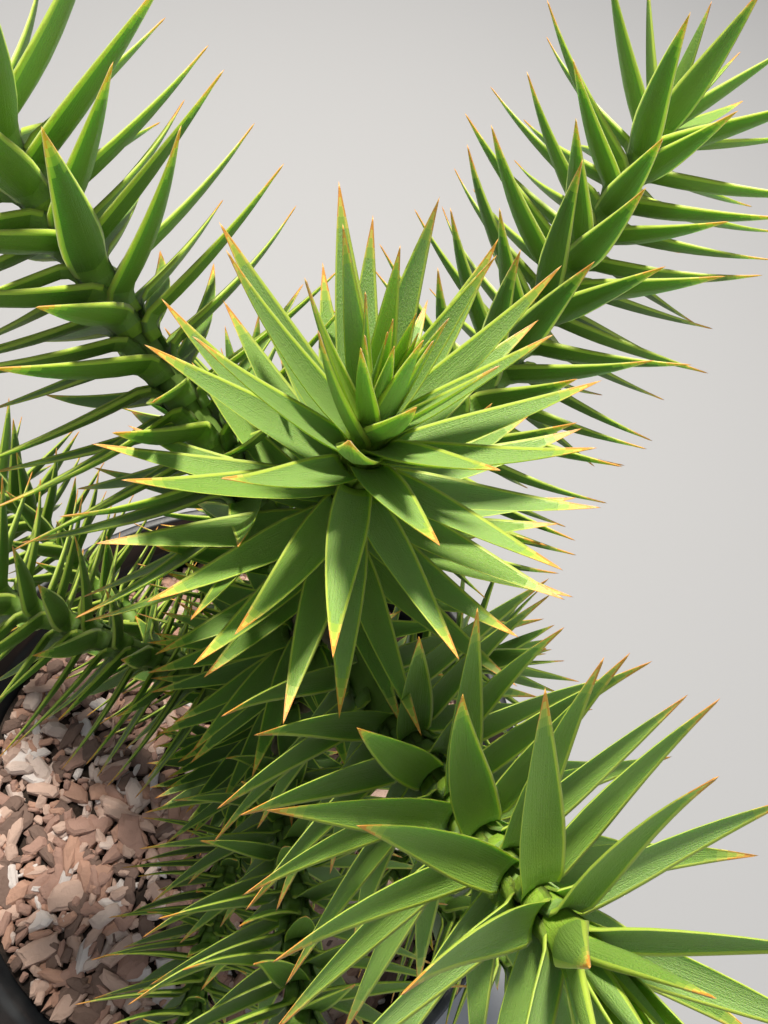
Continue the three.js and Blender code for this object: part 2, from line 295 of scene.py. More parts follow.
def leaf_rows(root, along, out, angle, length, width, curl, roll, yaw):
    """Points of one leaf, ring by ring and then its tip and foot, with their places in its grain"""
    total = length + DECURRENT
    fine = np.linspace(0, 1, MIDRIB_POINTS)
    bend = np.clip(fine * total / (DECURRENT * BEND_END), 0, 1)
    bend = bend * bend * (3 - 2 * bend)
    open_now = angle * bend - curl * fine ** POWERS["curl"]
    heading = np.cos(open_now)[:, None] * along + np.sin(open_now)[:, None] * out
    face = np.sin(open_now)[:, None] * along - np.cos(open_now)[:, None] * out
    across = np.cross(heading, face)
    sway = yaw * fine**2
    heading = heading * np.cos(sway)[:, None] + across * np.sin(sway)[:, None]
    across = np.cross(heading, face)
    step = np.diff(fine)[:, None] * total
    path = np.concatenate([np.zeros((1, 3)), np.cumsum((heading[1:] + heading[:-1]) / 2 * step, axis=0)])
    path = path + root - along * DECURRENT * SET_BACK

    def sample(rows, at):
        return np.stack([np.interp(at, fine, rows[:, i]) for i in range(3)], axis=1)

    centre = sample(path, STATIONS)
    across, face = sample(across, STATIONS), sample(face, STATIONS)
    turn = (roll * np.clip((STATIONS - TWIST_START) / (1 - TWIST_START), 0, 1))[:, None]
    across, face = across * np.cos(turn) + face * np.sin(turn), face * np.cos(turn) - across * np.sin(turn)
    half = width * width_share(STATIONS)
    margin = 1 - np.clip(MARGIN / np.maximum(half, 1e-3), *MARGIN_SHARES)
    hollow = HOLLOW * half * (1 - STATIONS) ** POWERS["hollow"]
    thick = KEEL["least"] + KEEL["foot"] * np.clip(1 - STATIONS / KEEL["end"], 0, 1) ** POWERS["keel"]
    rows, grain = [], []
    for column, s in enumerate(UPPER):
        if s is None:
            place, raised = margin if column > 1 else -margin, RAISED["beside"]
        else:
            place, raised = np.full_like(half, s), RAISED["margin"] if abs(s) == 1 else 0
        lift = raised - hollow * (1 - place**2)
        rows.append(centre + across * (half * place)[:, None] + face * lift[:, None])
        grain.append(np.stack([half * place, STATIONS * total], axis=1))
    for s in LOWER:
        lift = -hollow * (1 - s * s) - thick * (1 - (1 - EDGE_THICKNESS) * abs(s))
        rows.append(centre + across * (half * s)[:, None] + face * lift[:, None])
        grain.append(np.stack([half * s + UNDER_GRAIN, STATIONS * total], axis=1))
    points = np.stack(rows, axis=1).reshape(-1, 3)
    grain = np.stack(grain, axis=1).reshape(-1, 2)
    tip = path[-1] + face[-1] * RAISED["tip"]
    return np.vstack([points, tip, centre[0]]), np.vstack([grain, [[0, total], [0, 0]]]), path


def leaf_faces():
    """Faces of one leaf and what each is: blade, underside, margin, or a part of the foot or tip"""
    rows = len(STATIONS)
    faces, kinds = strips(rows, RING), []
    margins = (0, len(UPPER) - 2, len(UPPER) - 1, RING - 1)
    beside = (1, len(UPPER) - 3, len(UPPER), RING - 2)
    for i in range(rows - 1):
        middle = (STATIONS[i] + STATIONS[i + 1]) / 2
        for j in range(RING):
            sooner = SOONER["margin"] if j in margins else SOONER["beside"] if j in beside else 0
            tips = [colour for colour, start in TIP if middle + sooner > start]
            # A paler foot is a painted glow of light shining through the leaf's base
            foot_glows = [kind for kind, end in FOOT_GLOW if middle < end]
            if tips and not (j in margins and tips[0] == "pale"):
                kinds.append(tips[0])
            elif j in margins and middle > MARGIN_START:
                kinds.append("margin")
            elif foot_glows:
                kinds.append(foot_glows[0])
            else:
                kinds.append("blade" if j < len(UPPER) - 1 else "under")
    tip, foot = rows * RING, rows * RING + 1
    for j in range(RING):
        k = (j + 1) % RING
        faces.append(((rows - 1) * RING + j, (rows - 1) * RING + k, tip))
        kinds.append("orange")
        faces.append((k, j, foot))
        kinds.append("foot")
    return faces, kinds


LEAF_FACES, LEAF_KINDS = leaf_faces()
LEAF_QUADS = as_quads(LEAF_FACES)
LEAF_POINTS = len(STATIONS) * RING + 2


def opened(below, reach, sharpness):
    return 1 - math.exp(-((below / reach) ** sharpness))


def open_angle(habit, below):
    return habit["oldest"] * opened(below, habit["reach"], habit["sharpness"]) + habit["droop"] * below


def leaf_length(below, full):
    young = GROWTH["youngest"]
    return full * (young + (1 - young) * opened(below, GROWTH["reach"], GROWTH["sharpness"]))


def crowded(below):
    return 1 - CROWDING["share"] * math.exp(-below / CROWDING["reach"])


# Limbs of the whole tree, so that no leaf grows through one

limb_points, limb_radii, limb_names = [], [], []


def note_limb(name, axis, start, end, radius):
    distances = np.arange(start, end, LIMB_STEP)
    limb_points.append(axis(distances)[0])
    limb_radii.append(radius(distances))
    limb_names.extend([name] * len(distances))


note_limb("trunk", trunk_axis(0), 0, TRUNK["height"], trunk_radius)
masses = {
    "leader": dict(
        axis=trunk_axis(TRUNK["height"] + GAP),
        start=0,
        end=LEADER_LENGTH,
        tip=LEADER_LENGTH,
        spacing=SPACING["leader"],
        age=AGE["leader"],
        leaf=LEAF_LENGTH,
        stem=lambda s: TRUNK["top"] + (STEM[1] - TRUNK["top"]) * s / LEADER_LENGTH,
    )
}
boughs = {}
for whorl in ("top", "middle", "low"):
    bough_length, bough_radius = WHORLS[whorl]["bough"]
    for number, shoot in enumerate(WHORLS[whorl]["shoots"], 1):
        name = f"{whorl}_{number}"
        axis = shoot_axis(shoot)
        start, end = bough_length + GAP, shoot[2]

        def bough(s, full=bough_radius, length=bough_length):
            return full * (1 - (1 - BOUGH_TAPER) * s / length)

        def stem(s, start=start, end=end):
            return STEM[0] + (STEM[1] - STEM[0]) * (s - start) / (end - start)

        boughs[name] = dict(axis=axis, length=bough_length, radius=bough)
        masses[name] = dict(
            axis=axis,
            start=start,
            end=end,
            tip=end,
            spacing=SPACING["shoot"],
            age=AGE[whorl],
            leaf=WHORLS[whorl]["leaf"],
            stem=stem,
        )
        note_limb(name, axis, 2 * LIMB_STEP, bough_length, bough)
        note_limb(name, axis, start, end, stem)
note_limb("leader", masses["leader"]["axis"], 0, LEADER_LENGTH, masses["leader"]["stem"])
rings = [[shoot[0] for shoot in WHORLS[whorl]["shoots"]] for whorl in ("low", "middle", "top")]
for number in range(len(rings) + 1):
    start = max(rings[number - 1]) + SLEEVE["above"] if number else SLEEVE["foot"]
    end = min(rings[number]) - SLEEVE["below"] if number < len(rings) else TRUNK["height"]
    masses[f"trunk_{number + 1}"] = dict(
        axis=trunk_axis(0),
        start=start,
        end=end,
        tip=TRUNK["height"] + LEADER_LENGTH,
        spacing=SPACING["trunk"],
        age=AGE["trunk"],
        leaf=TRUNK_LEAF_LENGTH,
        stem=trunk_radius,
        on_trunk=True,
    )
limb_points, limb_radii = np.concatenate(limb_points), np.concatenate(limb_radii)
limb_names = np.array(limb_names)
grown_points, grown_names, grown_tips = np.zeros((0, 3)), np.zeros(0, int), np.zeros(0, bool)


def grow(name, number, mass):
    """All leaves of one mass: their points, faces, slots and grain"""
    global grown_points, grown_names, grown_tips
    own = "trunk" if mass.get("on_trunk") else name
    other = limb_names != own
    far_points, far_radii = limb_points[other], limb_radii[other]
    strangers, tips = grown_points[grown_names != number], grown_tips[grown_names != number]
    points, faces, slots, grain, paths = [], [], [], [], []
    habit = LEADER_HABIT if name == "leader" else SHOOT_HABIT
    widest = LEAF_HALF_WIDTH["leader" if name == "leader" else "shoot"]
    distance, turn_now = mass["end"] - mass["spacing"] / 3, 0.0
    while distance > mass["start"]:
        below = mass["tip"] - distance
        jitter = rng.uniform(-1, 1, 8)
        turn = turn_now + math.radians(JITTER["turn"] * jitter[0])
        turn_now += GOLDEN_ANGLE
        place, distance = distance, distance - mass["spacing"] * crowded(below)
        open_now, size = open_angle(habit, below), leaf_length(below, mass["leaf"])
        if mass.get("on_trunk"):
            open_now, size = TRUNK_LEAF_ANGLE, mass["leaf"]
        angle = math.radians(open_now + JITTER["angle"] * jitter[1])
        length = size * (1 - JITTER["length"] * (jitter[2] + 1) / 2)
        width = widest * (length / LEAF_LENGTH) ** POWERS["width"] * (1 + JITTER["width"] * jitter[3])
        point, along, side, up = (rows[0] for rows in mass["axis"](place))
        out = side * math.cos(turn) + up * math.sin(turn)
        root = point + out * (mass["stem"](place) - ROOT_SUNK)
        curl = math.radians(CURL["old"] + JITTER["curl"] * jitter[4]) * min(1, below / CURL["reach"])
        roll, yaw = math.radians(JITTER["roll"] * jitter[5]), math.radians(JITTER["yaw"] * jitter[6])
        rows, places, path = leaf_rows(root, along, out, angle, length, width, curl, roll, yaw)
        reach = path[FELT]
        near = np.linalg.norm(reach[:, None] - far_points[None], axis=2) - far_radii[None]
        if near.min() < LIMB_CLEARANCE:
            continue
        if len(strangers):
            apart = np.linalg.norm(reach[:, None] - strangers[None], axis=2)
            if apart.min() < LEAF_CLEARANCE or min(apart[-1].min(), apart[:, tips].min()) < TIP_CLEARANCE:
                continue
        first = len(points) * LEAF_POINTS
        points.append(rows)
        grain.append(places + rng.uniform(0, GRAIN_SPREAD, 2))
        faces.append(LEAF_QUADS + first)
        slots.append(slots_of(below, mass["age"], jitter[7]))
        paths.append(reach)
    fresh = np.concatenate(paths)
    grown_points = np.concatenate([grown_points, fresh])
    grown_names = np.concatenate([grown_names, np.full(len(fresh), number)])
    grown_tips = np.concatenate([grown_tips, np.arange(len(fresh)) % len(paths[0]) == len(paths[0]) - 1])
    return np.concatenate(points), np.concatenate(faces), np.concatenate(slots), np.concatenate(grain)


TONES = {
    "young": (0.29, 0.46, 0.05),
    "fresh": (0.24, 0.39, 0.095),
    "bright": (0.212, 0.36, 0.06),
    "mid": (0.168, 0.305, 0.042),
    "deep": (0.12, 0.235, 0.032),
    "old": (0.084, 0.168, 0.025),
}
EDGES = {
    "margin": (0.41, 0.56, 0.07),
    "pale": (0.28, 0.42, 0.06),
    "lime": (0.4, 0.5, 0.07),
    "yellow": (0.68, 0.58, 0.1),
    "gold": (0.78, 0.45, 0.07),
    "orange": (0.78, 0.31, 0.05),
}
EDGE_SLOTS = {name: len(TONES) + i for i, name in enumerate(EDGES)}


def slots_of(below, start_age, chance):
    """Which material each face of a leaf takes, by the leaf's age and that of its shoot"""
    age = start_age + below / AGE_STEP + JITTER["age"] * chance
    young = below < YOUNG_END + JITTER["young"] * chance
    tone = 0 if young else 1 + sum(age >= end for end in TONE_ENDS)
    look_up = {
        "blade": tone,
        "under": min(tone + 1, len(TONES) - 1),
        # The foot's paler tones are a painted glow of light shining through the leaf's base
        "lower_glow": max(tone - 1, 0),
        "foot": max(tone - 2, 0),
        **EDGE_SLOTS,
    }
    return np.array([look_up[kind] for kind in LEAF_KINDS])


# Materials


def material(name, colour, roughness):
    made = bpy.data.materials.new(name)
    made.use_nodes = True
    shader = made.node_tree.nodes["Principled BSDF"]
    shader.inputs["Base Color"].default_value = (*colour, 1)
    shader.inputs["Roughness"].default_value = roughness
    return made, made.node_tree, shader


def node(tree, kind, **settings):
    made = tree.nodes.new(kind)
    for key, value in settings.items():
        if key in made.inputs:
            made.inputs[key].default_value = value
        else:
            setattr(made, key, value)
    return made


def texture(tree, kind, coordinates, stretch=None, **settings):
    """A texture's value at these coordinates, which may be stretched first"""
    if stretch:
        mapping = node(tree, "ShaderNodeMapping", Scale=stretch)
        tree.links.new(coordinates, mapping.inputs["Vector"])
        coordinates = mapping.outputs["Vector"]
    made = node(tree, f"ShaderNodeTex{kind}", **settings)
    tree.links.new(coordinates, made.inputs["Vector"])
    return made.outputs["Fac"]


def noise_in_place(tree, scale, detail, stretch=None, **settings):
    place = node(tree, "ShaderNodeTexCoord").outputs["Object"]
    return texture(tree, "Noise", place, stretch, Scale=scale, Detail=detail, **settings)


def mixed(tree, factor, first, second):
    made = node(tree, "ShaderNodeMix", data_type="FLOAT", Factor=factor)
    tree.links.new(first, made.inputs["A"])
    tree.links.new(second, made.inputs["B"])
    return made.outputs["Result"]


def bump(tree, shader, height, strength, distance):
    made = node(tree, "ShaderNodeBump", Strength=strength, Distance=distance)
    tree.links.new(height, made.inputs["Height"])
    tree.links.new(made.outputs["Normal"], shader.inputs["Normal"])


def vary_gloss(tree, shader, value, span, roughness):
    """Roughness that runs from one number to another while a value crosses its span"""
    limits = {"From Min": span[0], "From Max": span[1], "To Min": roughness[0], "To Max": roughness[1]}
    made = node(tree, "ShaderNodeMapRange", **limits)
    tree.links.new(value, made.inputs["Value"])
    tree.links.new(made.outputs["Result"], shader.inputs["Roughness"])


def vary_colour(tree, shader, value, *stops):
    made = tree.nodes.new("ShaderNodeValToRGB")
    elements = made.color_ramp.elements
    while len(elements) < len(stops):
        elements.new(0.5)
    for element, (place, colour) in zip(elements, stops):
        element.position = place
        element.color = (*colour, 1)
    tree.links.new(value, made.inputs["Fac"])
    tree.links.new(made.outputs["Color"], shader.inputs["Base Color"])


ROW_PITCH = 0.45  # of the fine rows along a leaf
ROW_SHARE = 0.045  # how much of the relief they are
ROW_STRETCH = (1, 0.15, 1)
WAVE_PERIOD = 0.314  # of a wave texture whose scale is 1
STREAKS = (2.3, 0.09, 1)  # the scale of long noise across and along a leaf
STIPPLE = (4.6, 2.0, 1)  # and of short noise
STIPPLE_SHARE = 0.55
GLOSS_RANGE = (0.12, 0.14)  # how much smoother and rougher than usual the relief makes a leaf
WAX = {
    "Specular IOR Level": 0.5,
    "Subsurface Weight": 0.3,
    "Subsurface Radius": (0.5, 1.0, 0.15),
    "Subsurface Scale": 0.002,
}


def leaf_material(name, colour, roughness, strength):
    """A waxy leaf with fine lengthwise rows and stipple in its relief and gloss"""
    made, tree, shader = material(name, colour, roughness)
    grain = node(tree, "ShaderNodeUVMap", uv_map="grain").outputs["UV"]
    streaks = texture(tree, "Noise", grain, STREAKS, Scale=1.0, Detail=3.0, Roughness=0.6)
    stipple = texture(tree, "Noise", grain, STIPPLE, Scale=1.0, Detail=3.0, Roughness=0.6)
    wave = WAVE_PERIOD / ROW_PITCH
    rows = texture(tree, "Wave", grain, ROW_STRETCH, Scale=wave, Distortion=1.5, Detail=2.0)
    lines = mixed(tree, STIPPLE_SHARE, streaks, stipple)
    vary_gloss(tree, shader, lines, (0.3, 0.7), (roughness - GLOSS_RANGE[0], roughness + GLOSS_RANGE[1]))
    bump(tree, shader, mixed(tree, ROW_SHARE, lines, rows), strength, distance=0.0005)
    for socket, value in WAX.items():
        shader.inputs[socket].default_value = value
    return made


leaf_materials = []
for colours, roughness, strength in ((TONES, 0.46, 1.0), (EDGES, 0.44, 0.3)):
    for name, colour in colours.items():
        leaf_materials.append(leaf_material(f"leaf_{name}", colour, roughness, strength))


def stem_material():
    made, tree, shader = material("young_stem", (0.17, 0.28, 0.05), roughness=0.6)
    bump(tree, shader, noise_in_place(tree, 420.0, 3.0), strength=0.5, distance=0.0004)
    return made


def bark_material():
    made, tree, shader = material("bark", (0.1, 0.08, 0.04), roughness=0.8)
    cracks = noise_in_place(tree, 1.0, 6.0, (90, 90, 320), Roughness=0.65)
    stops = (0.3, (0.045, 0.035, 0.018)), (0.5, (0.12, 0.1, 0.045)), (0.72, (0.22, 0.19, 0.1))
    vary_colour(tree, shader, cracks, *stops)
    bump(tree, shader, cracks, strength=0.8, distance=0.0008)
    return made


def pot_material():
    made, tree, shader = material("pot_plastic", (0.014, 0.016, 0.019), roughness=0.42)
    dust = noise_in_place(tree, 38.0, 6.0, Roughness=0.6)
    vary_colour(tree, shader, dust, (0.42, (0.012, 0.014, 0.017)), (0.75, (0.04, 0.042, 0.045)))
    vary_gloss(tree, shader, dust, (0, 1), (0.3, 0.62))
    bump(tree, shader, noise_in_place(tree, 900.0, 2.0), strength=0.25, distance=0.0003)
    return made


CHIP_COLOURS = [
    (0.37, 0.22, 0.17),
    (0.46, 0.265, 0.19),
    (0.54, 0.37, 0.295),
    (0.18, 0.115, 0.09),
    (0.59, 0.465, 0.405),
    (0.65, 0.58, 0.545),
]


def chip_material(number, colour):
    made, tree, shader = material(f"bark_chip_{number}", colour, roughness=0.88)
    grain = noise_in_place(tree, 520.0, 5.0, Roughness=0.7)
    bump(tree, shader, grain, strength=0.9, distance=0.0008)
    return made


def mix_material():
    made, tree, shader = material("potting_mix_grains", (0.022, 0.014, 0.009), roughness=0.95)
    grain = noise_in_place(tree, 260.0, 6.0, Roughness=0.7)
    vary_colour(tree, shader, grain, (0.35, (0.012, 0.008, 0.006)), (0.7, (0.06, 0.036, 0.024)))
    bump(tree, shader, grain, strength=1.0, distance=0.002)
    return made


# Camera, light and floor


def make_camera():
    tilt, roll = math.radians(CAMERA["elevation"]), math.radians(CAMERA["roll"])
    ahead = np.array([0, math.cos(tilt), -math.sin(tilt)])
    level = np.array([1.0, 0, 0])
    upward = np.array([0, math.sin(tilt), math.cos(tilt)])
    right = math.cos(roll) * level + math.sin(roll) * upward
    top = -math.sin(roll) * level + math.cos(roll) * upward
    data = bpy.data.cameras.new("camera")
    data.lens, data.sensor_width = LENS, SENSOR
    data.clip_start, data.clip_end = CLIP
    focal = LENS / SENSOR * max(IMAGE)
    x = (CAMERA["pixel"][0] - IMAGE[0] / 2) / focal * CAMERA["distance"]
    y = (IMAGE[1] / 2 - CAMERA["pixel"][1]) / focal * CAMERA["distance"]
    target = trunk_points([TRUNK["height"] + CAMERA["height"]])[0]
    place = target - CAMERA["distance"] * ahead - x * right - y * top
    camera = bpy.data.objects.new("camera", data)
    bpy.context.scene.collection.objects.link(camera)
    turn = Matrix((right.tolist(), top.tolist(), (-ahead).tolist())).transposed().to_4x4()
    camera.matrix_world = Matrix.Translation(Vector(place.tolist()) * MM) @ turn
    bpy.context.scene.camera = camera


# In metres and watts
LIGHTS = {
    "key": dict(place=(-0.25, 0.85, 2.1), size=0.22, power=68, colour=(1.0, 0.95, 0.86)),
    "fill": dict(place=(1.2, -0.9, 1.3), size=1.2, power=7, colour=(0.9, 0.95, 1.0)),
}
HEART = (0.03, 0.0, 0.45)  # what the lights point at
SKY = dict(colour=(0.86, 0.92, 1.0), strength=0.28)
FLOOR = dict(half=9, colour=(0.42, 0.42, 0.43))


def area_light(name, place, size, power, colour):
    data = bpy.data.lights.new(name, "AREA")
    data.shape, data.size, data.energy, data.color = "DISK", size, power, colour
    lamp = bpy.data.objects.new(name, data)
    bpy.context.scene.collection.objects.link(lamp)
    lamp.location = place
    lamp.rotation_euler = (Vector(HEART) - Vector(place)).to_track_quat("-Z", "Y").to_euler()


def make_stage():
    world = bpy.data.worlds.new("studio")
    bpy.context.scene.world = world
    world.use_nodes = True
    back = world.node_tree.nodes["Background"]
    back.inputs["Color"].default_value = (*SKY["colour"], 1)
    back.inputs["Strength"].default_value = SKY["strength"]
    for name, light in LIGHTS.items():
        area_light(name, **light)
    floor = bpy.data.meshes.new("floor")
    half = FLOOR["half"]
    corners = [(-half, -half, 0), (half, -half, 0), (half, half, 0), (-half, half, 0)]
    floor.from_pydata(corners, [], [(0, 1, 2, 3)])
    piece = bpy.data.objects.new("floor", floor)
    bpy.context.scene.collection.objects.link(piece)
    made, _, _ = material("studio_floor", FLOOR["colour"], roughness=0.8)
    floor.materials.append(made)
    bpy.context.scene.view_settings.view_transform = "Standard"


# Pot, mix and chips

CORNER = 1.6
CORNER_SHARE = 0.45  # of the shorter side that a corner may take
SHARP_ANGLE = 40
POT_SIDES = 144
MIX_SIDES = 96
# How the level of the chips rolls, and how far it lies below their top
SURFACE = dict(wave=26, rise=1.6, below=2.0)
# The mix's top, whose noise is per metre and rises by this many metres
MIX = dict(inner=6, rings=22, below=4.5, rough_depth=5, noise=90, rise=0.0016)


def wall_radius(z):
    return POT["base"] + (POT["shoulder"] - POT["base"]) * z / (POT["height"] - POT["band"])


def lathe(name, profile, sides, materials):
    """A closed body of revolution whose profile starts and ends on the axis"""
    turn = np.linspace(0, 2 * np.pi, sides, endpoint=False)
    inner = profile[1:-1]
    points = [(r * math.cos(a), r * math.sin(a), z) for r, z in inner for a in turn]
    points += [(0, 0, profile[0][1]), (0, 0, profile[-1][1])]
    faces = strips(len(inner), sides) + caps(len(inner), sides)
    return make_mesh(name, points, faces, None, materials)


def rounded(profile, radius, steps=4):
    """Rounds each inner corner of a profile"""
    made = [profile[0]]
    for before, corner, after in zip(profile, profile[1:], profile[2:]):
        before, corner, after = map(np.array, (before, corner, after))
        back, ahead = np.linalg.norm(before - corner), np.linalg.norm(after - corner)
        cut = min(radius, CORNER_SHARE * back, CORNER_SHARE * ahead)
        start = corner + (before - corner) / back * cut
        end = corner + (after - corner) / ahead * cut
        for t in np.linspace(0, 1, steps):
            made.append(tuple((1 - t) ** 2 * start + 2 * t * (1 - t) * corner + t * t * end))
    return made + [profile[-1]]


def make_pot():
    shoulder = POT["height"] - POT["band"]
    rim, height, wall = POT["rim"], POT["height"], POT["wall"]
    foot, step, lip = POT["foot"], POT["step"], POT["lip"]
    band = wall_radius(shoulder) + step
    profile = [
        (0, 0),
        (wall_radius(0), 0),
        (wall_radius(foot) + wall, foot),
        (wall_radius(shoulder) + wall, shoulder),
        (band + wall, shoulder + step),
        (band + wall + 1, height - lip),
        (rim, height - lip),
        (rim, height),
        (band + 1, height),
        (band, shoulder + step),
        (wall_radius(shoulder), shoulder),
        (wall_radius(wall), wall),
        (0, wall),
    ]
    pot = lathe("nursery_pot", rounded(profile, CORNER), POT_SIDES, [pot_material()])
    cutters = bmesh.new()
    for i in range(DRAIN["count"]):
        turn = Matrix.Rotation((i + 0.5) / DRAIN["count"] * 2 * math.pi, 4, "Z")
        place = Matrix.Translation((wall_radius(DRAIN["height"]) * MM, 0, DRAIN["height"] * MM))
        lay = Matrix.Rotation(math.pi / 2, 4, "Y")
        bmesh.ops.create_cone(
            cutters,
            cap_ends=True,
            segments=DRAIN["sides"],
            radius1=DRAIN["radius"] * MM,
            radius2=DRAIN["radius"] * MM,
            depth=DRAIN["length"] * MM,
            matrix=turn @ place @ lay,
        )
    mesh = bpy.data.meshes.new("drain_cutters")
    cutters.to_mesh(mesh)
    cutters.free()
    holes = bpy.data.objects.new("drain_cutters", mesh)
    bpy.context.scene.collection.objects.link(holes)
    cut = pot.modifiers.new("drain", "BOOLEAN")
    cut.object, cut.operation, cut.solver = holes, "DIFFERENCE", "EXACT"
    with bpy.context.temp_override(object=pot, active_object=pot, selected_objects=[pot]):
        bpy.ops.object.modifier_apply(modifier="drain")
    bpy.data.objects.remove(holes)
    pot.data.set_sharp_from_angle(angle=math.radians(SHARP_ANGLE))
    dress(pot, "pot", "pot")


def ground_height(x, y):
    radius = math.hypot(x, y)
    rise = noise.noise(Vector((x / SURFACE["wave"], y / SURFACE["wave"], 3.0))) * SURFACE["rise"]
    return CHIPS_TOP - CHIPS_FALL * radius / wall_radius(CHIPS_TOP) + rise - SURFACE["below"]


CHIP_SHARES = (0.25, 0.2, 0.2, 0.17, 0.12, 0.06)  # how much of the bed takes each colour
CHIP_RINGS = ((-1.0, 0.78), (-0.3, 1.0), (0.4, 0.95), (1.0, 0.7))  # height and width of each ring of a chip
CHIP_SIDES = 8
CHIP_COUNT = 2600
CHIP_HALF = np.array([13, 7, 2])  # half the length, width and thickness of the largest chip
CHIP_THINNEST = 0.8  # half its thickness
CHIP_SHARE = ((0.7, 0.5, 0.5), 1.1)  # the least and most that these vary by
CHIP_UNEVEN = dict(turn=0.32, outline=(0.72, 1.1), ring=(0.92, 1.06), height=0.2, ridge=0.3, peak=0.35)
CHIP_SQUARENESS = 0.7  # a power under 1 gives the outline corners
CHIP_BELLY = -1.05
CHIP_SIZE_POWER = 2.2  # over 1 gives more small chips
CHIP_SMALLEST = 0.28  # as a share of the largest
CHIP_SCATTER = 4  # how far at most a chip lies from its place in the spiral
CHIP_TILT = (14, 18)  # in degrees, along and across
CHIP_LIFT = (-2.0, 3.2)
BED_GAP = 3  # between the chips and the pot's wall
TRUNK_FOOT = dict(clear=13, calm=24, lift=0.4)  # chips keep clear of the trunk, and lie more level near it


def chip_body(half):
    """One angular flake round the origin: rings of points, then its lowest and highest point"""
    uneven, each = CHIP_UNEVEN, (CHIP_SIDES, 1)
    shift = rng.uniform(-uneven["turn"], uneven["turn"], CHIP_SIDES)
    turn = (np.arange(CHIP_SIDES) + shift) / CHIP_SIDES * 2 * math.pi
    outline = np.stack([np.cos(turn), np.sin(turn)], axis=1)
    outline = np.sign(outline) * np.abs(outline) ** CHIP_SQUARENESS * rng.uniform(*uneven["outline"], each)
    body = []
    for height, share in CHIP_RINGS:
        heights = height + rng.uniform(-uneven["height"], uneven["height"], CHIP_SIDES)
        widths = share * rng.uniform(*uneven["ring"], each)
        body.append(np.column_stack([outline * widths, heights]))
    body.append([(0, 0, CHIP_BELLY)])
    body.append([(rng.uniform(-uneven["ridge"], uneven["ridge"]), 0, 1 + rng.uniform(0, uneven["peak"]))])
    return np.vstack(body) * half


def make_chips():
    """A bed of bark chips: flat, split, angular flakes in every direction, each of one plain colour"""
    materials = [chip_material(number, colour) for number, colour in enumerate(CHIP_COLOURS)]
    chip_faces = as_quads(strips(len(CHIP_RINGS), CHIP_SIDES) + caps(len(CHIP_RINGS), CHIP_SIDES))
    edge = wall_radius(CHIPS_TOP) - BED_GAP
    points, faces, slots = [], [], []
    for i in range(CHIP_COUNT):
        clear = TRUNK_FOOT["clear"]
        radius = clear + (edge - clear - 1) * math.sqrt((i + 0.5) / CHIP_COUNT)
        spot = i * GOLDEN_ANGLE
        x = radius * math.cos(spot) + rng.uniform(-CHIP_SCATTER, CHIP_SCATTER)
        y = radius * math.sin(spot) + rng.uniform(-CHIP_SCATTER, CHIP_SCATTER)
        size = CHIP_SMALLEST + (1 - CHIP_SMALLEST) * rng.uniform(0, 1) ** CHIP_SIZE_POWER
        half = CHIP_HALF * size * rng.uniform(*CHIP_SHARE) + (0, 0, CHIP_THINNEST)
        reach = math.hypot(x, y)
        if reach > edge - half[0]:
            x, y = x * (edge - half[0]) / reach, y * (edge - half[0]) / reach
        body = chip_body(half)
        tilt = Matrix.Rotation(rng.uniform(0, 2 * math.pi), 3, "Z")
        tilt = tilt @ Matrix.Rotation(math.radians(rng.normal(0, CHIP_TILT[0])), 3, "Y")
        tilt = tilt @ Matrix.Rotation(math.radians(rng.normal(0, CHIP_TILT[1])), 3, "X")
        level = TRUNK_FOOT["lift"] if math.hypot(x, y) < TRUNK_FOOT["calm"] else 1
        lift = ground_height(x, y) + rng.uniform(*CHIP_LIFT) * level
        points.append(body @ np.array(tilt).T + (x, y, lift))
        faces.append(chip_faces + i * len(body))
        colour = rng.choice(len(CHIP_COLOURS), p=CHIP_SHARES)
        slots.append(np.full(len(chip_faces), colour))
    points, faces, slots = map(np.concatenate, (points, faces, slots))
    chips = make_mesh("bark_mulch", points, faces, slots, materials, smooth=False)
    dress(chips, "bark_chips", "bark_chips")


def make_mix():
    """The dark mix: a rough disc under the chips, down to the pot's floor"""
    top = []
    for radius in np.linspace(MIX["inner"], wall_radius(MIX_TOP) - 1, MIX["rings"]):
        top.append((radius, CHIPS_TOP - MIX["below"] - CHIPS_FALL * radius / wall_radius(MIX_TOP)))
    floor = POT["wall"] + GAP
    profile = [(0, floor), (wall_radius(floor) - 1, floor)] + top[::-1] + [(0, top[0][1])]
    body = lathe("potting_mix_fill", profile, MIX_SIDES, [mix_material()])
    for vertex in body.data.vertices:
        if vertex.co.z > (MIX_TOP - MIX["rough_depth"]) * MM:
            vertex.co.z += noise.noise(vertex.co * MIX["noise"]) * MIX["rise"]
    dress(body, "potting_mix", "potting_mix")


# Trunk and boughs

SKIN = 0.25  # how much thinner than the solid the bark starts, to leave room for its relief
TRUNK_MESH = dict(steps=420, sides=44, scar=0.55, pitch=1.0)
BOUGH_MESH = dict(steps=60, sides=32, scar=0.5, pitch=1.3, start=2)
TWIG_MESH = dict(step=1.5, least_steps=8, sides=18, scar=0.35, rounding=3, end=0.25)
SCAR = dict(half_turn=0.42, half_height=3.4, sharpness=1.6, reach=6)
CRACKS = dict(depth=0.16, rate=1.9, sway=0.6, waves=3)
WAVE = dict(depth=0.13, rate=0.83, turns=2)


